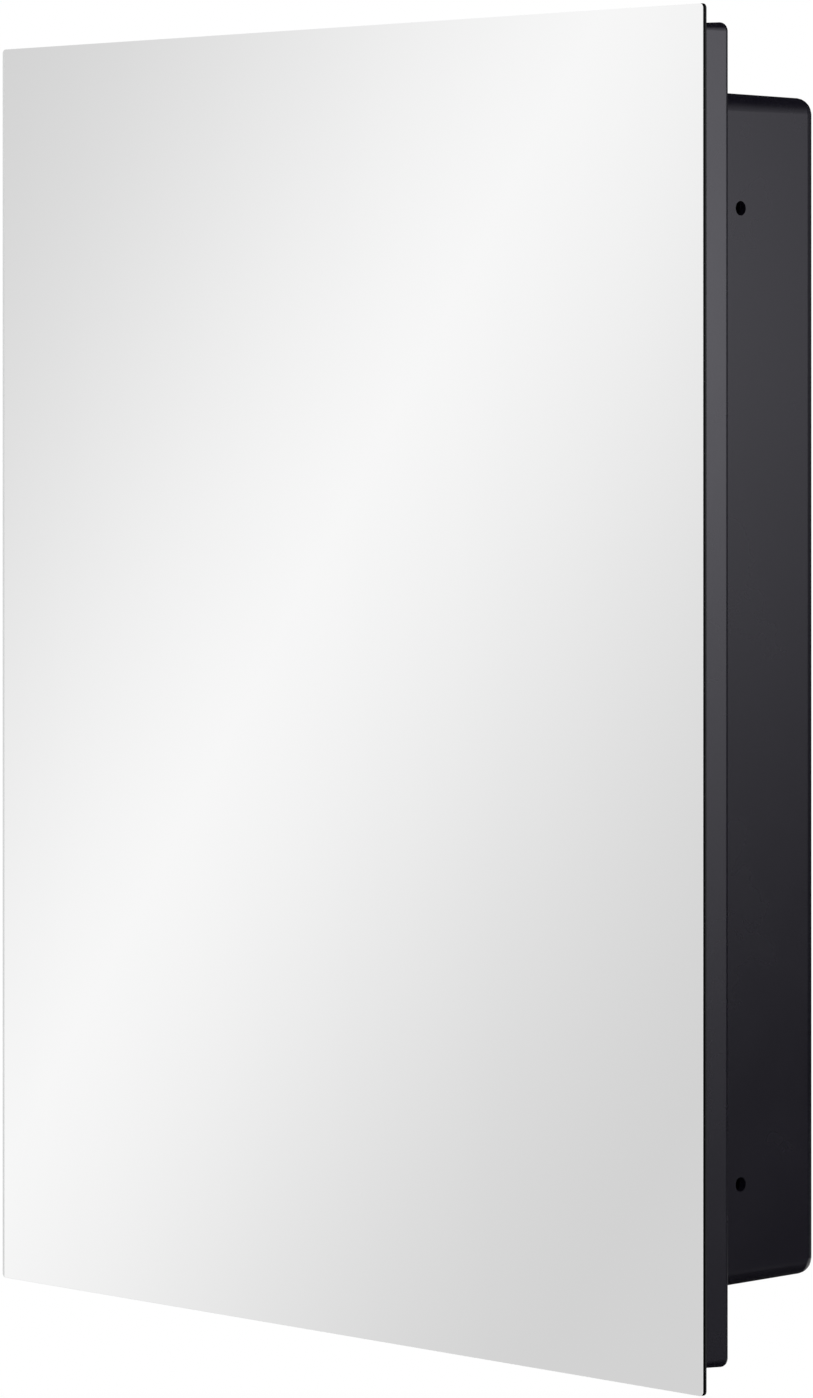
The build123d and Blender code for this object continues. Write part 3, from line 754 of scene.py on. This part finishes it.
# Strengths by height above the cabinet's middle, and by bearing, which is 1 at the right
SHEEN_BY_HEIGHT = (
    (-0.98, 0.0), (-0.75, 0.01), (-0.45, 0.05), (-0.3, 0.153), (-0.15, 0.335), (0.0, 0.567),
    (0.10, 0.88), (0.15, 1.0), (0.20, 0.98), (0.26, 0.85), (0.34, 0.66), (0.5, 0.50), (0.7, 0.42),
    (1.0, 0.31), (1.4, 0.17), (1.8, 0.05), (2.2, 0.0))
SHEEN_BY_BEARING = (
    (-1.0, 0.02), (-0.72, 0.01), (-0.2, 0.01), (0.1, 0.03), (0.5, 0.05), (0.62, 0.09), (0.72, 0.26),
    (0.82, 0.80), (0.88, 1.0), (1.0, 1.0))
BEARING_END = 1.01


def fade(tree, value, low, high, stops):
    """A smooth run of strengths along a range."""
    ramp = put(tree, "ShaderNodeValToRGB", Fac=span(tree, value, low, high))
    elements = ramp.color_ramp.elements
    for element in elements:
        element.color = (0.0, 0.0, 0.0, 1.0)
    for place, strength in stops:
        elements.new((place - low) / (high - low)).color = (strength, strength, strength, 1.0)
    return ramp.outputs["Color"]


sheen_finish, tree, glow, at = glow_finish("side_sheen")
from_middle = put(tree, "ShaderNodeVectorMath", {"operation": "LENGTH"})
tree.links.new(put(tree, "ShaderNodeCombineXYZ", X=at["X"], Y=at["Y"]).outputs[0], from_middle.inputs[0])
outward = from_middle.outputs["Value"]
bearing = reckon(tree, "DIVIDE", at["X"], outward)
sheen = product(tree, fade(tree, at["Z"], FLOOR_LEVEL, SHEEN_TOP, SHEEN_BY_HEIGHT),
                fade(tree, bearing, -BEARING_END, BEARING_END, SHEEN_BY_BEARING), SHEEN_STRENGTH)
change = span(tree, bearing, low=0.78, high=0.83, to_low=-0.75, to_high=0.3)
lower = product(tree, soft_edge(tree, at["Z"], none=-0.15, full=-0.4), change)
sheen = reckon(tree, "MULTIPLY_ADD", sheen, lower, sheen)
under = product(
    tree,
    soft_edge(tree, at["Z"], none=-0.62, full=-0.95),
    soft_edge(tree, bearing, none=0.2, full=0.5),
    soft_edge(tree, outward, none=1.35, full=1.6))
glow.inputs["Color"].default_value = SHEEN_COLOUR
tree.links.new(reckon(tree, "MULTIPLY_ADD", under, UNDER_STRENGTH, sheen), glow.inputs["Strength"])
window = product(
    tree,
    soft_edge(tree, bearing, none=-0.5, full=-0.25),
    soft_edge(tree, bearing, none=0.45, full=0.2),
    soft_edge(tree, at["Z"], none=-0.45, full=-0.7),
    soft_edge(tree, outward, none=1.1, full=1.5))
sharp = put(tree, "ShaderNodeLightPath").outputs["Is Singular Ray"]
thin_out(tree, glow, product(
    tree,
    reckon(tree, "SUBTRACT", 1.0, window),
    reckon(tree, "SUBTRACT", 1.0, sharp),
    soft_edge(tree, bearing, none=-0.92, full=-0.79)))
sweep = [SHEEN_FROM + SHEEN_SWEEP * i / SHEEN_STEPS for i in range(SHEEN_STEPS + 1)]
rows = ((SHEEN_INNER, BOARD_FOOT), (SHEEN_RADIUS, BOARD_FOOT), (SHEEN_RADIUS, SHEEN_WAIST),
        (SHEEN_RADIUS, SHEEN_TOP))
glow_board("sheen_board", [[(radius * math.cos(a), radius * math.sin(a), z) for a in sweep]
                           for radius, z in rows], sheen_finish)


def seen_plainly(tree):
    """One where a ray comes from the camera, a reflection or through glass, and nought elsewhere."""
    ray = put(tree, "ShaderNodeLightPath").outputs
    seen = reckon(tree, "MAXIMUM", ray["Is Camera Ray"], ray["Is Glossy Ray"])
    return reckon(tree, "MAXIMUM", seen, ray["Is Transmission Ray"])


# The floor, which fades to white far from the cabinet
FLOOR_DEEP = (0.80, 0.80, 0.80, 1.0)
FLOOR_PALE = (0.83, 0.83, 0.83, 1.0)
FLOOR_KEPT, FLOOR_WHITE = 2.2, 4.5
WHITE = (1.0, 1.0, 1.0, 1.0)
floor_finish, tree, shader = finish_for("pale_floor", Roughness=0.9, Specular_IOR_Level=0.1)
spot = object_spot(tree)
speck = put(tree, "ShaderNodeTexNoise", Vector=spot, Scale=40.0, Detail=3.0).outputs[0]
colour_by(tree, shader, speck, FLOOR_DEEP, FLOOR_PALE)
reach = put(tree, "ShaderNodeVectorMath", {"operation": "LENGTH"})
tree.links.new(spot, reach.inputs[0])
far = span(tree, reach.outputs["Value"], FLOOR_KEPT, FLOOR_WHITE)
white = put(tree, "ShaderNodeEmission", Color=WHITE, Strength=1.0)
show_through(tree, tree.nodes["Material Output"], product(tree, far, seen_plainly(tree)), shader, white)
ends = (-FLOOR_HALF, FLOOR_HALF)
board("studio_floor", [[(x, y, FLOOR_LEVEL) for x in ends] for y in ends], floor_finish)

# The world: white where it is seen, and half as strong where it lights
WORLD_LIGHT, WORLD_SEEN = 0.5, 1.0
world = bpy.data.worlds.new("white_room")
bpy.context.scene.world = world
world.use_nodes = True
sky = world.node_tree.nodes["Background"]
sky.inputs["Color"].default_value = WHITE
strength = span(world.node_tree, seen_plainly(world.node_tree), 0.0, 1.0, WORLD_LIGHT, WORLD_SEEN)
world.node_tree.links.new(strength, sky.inputs["Strength"])


def soft_lamp(name, place, width, power):
    """A square soft lamp, aimed at the cabinet, that reflections don't show."""
    lamp = bpy.data.lights.new(name, "AREA")
    lamp.size, lamp.energy = width, power
    made = stand(name, lamp)
    made.location = place
    made.rotation_euler = (-Vector(place)).to_track_quat("-Z", "Y").to_euler()
    made.visible_glossy = False


soft_lamp("lamp_left", (-1.8, -2.6, 1.5), width=1.6, power=55.0)
soft_lamp("lamp_right", (2.6, -1.4, 1.1), width=1.4, power=32.0)
soft_lamp("lamp_back", (0.6, 2.8, 1.6), width=1.6, power=28.0)

# Camera
# A level long lens from the front right. It is shifted down to the photograph's framing, so that
# upright edges stay upright.
PHOTO_TALL = 1398
FOCAL_PIXELS, HORIZON_PIXEL = 6061.8, 393.6
SENSOR_WIDTH = 36.0
CAMERA_PLACE, CAMERA_TURN = (1.7556, -1.6003, 0.1107), 47.38
lens = bpy.data.cameras.new("camera")
lens.sensor_fit, lens.sensor_width = "AUTO", SENSOR_WIDTH
lens.lens = FOCAL_PIXELS * SENSOR_WIDTH / PHOTO_TALL
lens.shift_y = (HORIZON_PIXEL - PHOTO_TALL / 2) / PHOTO_TALL
lens.clip_start, lens.clip_end = 0.05, 200.0
camera = stand("camera", lens)
camera.location = CAMERA_PLACE
camera.rotation_euler = (math.radians(90.0), 0.0, math.radians(CAMERA_TURN))
bpy.context.scene.camera = camera
bpy.context.scene.view_settings.view_transform = "Standard"
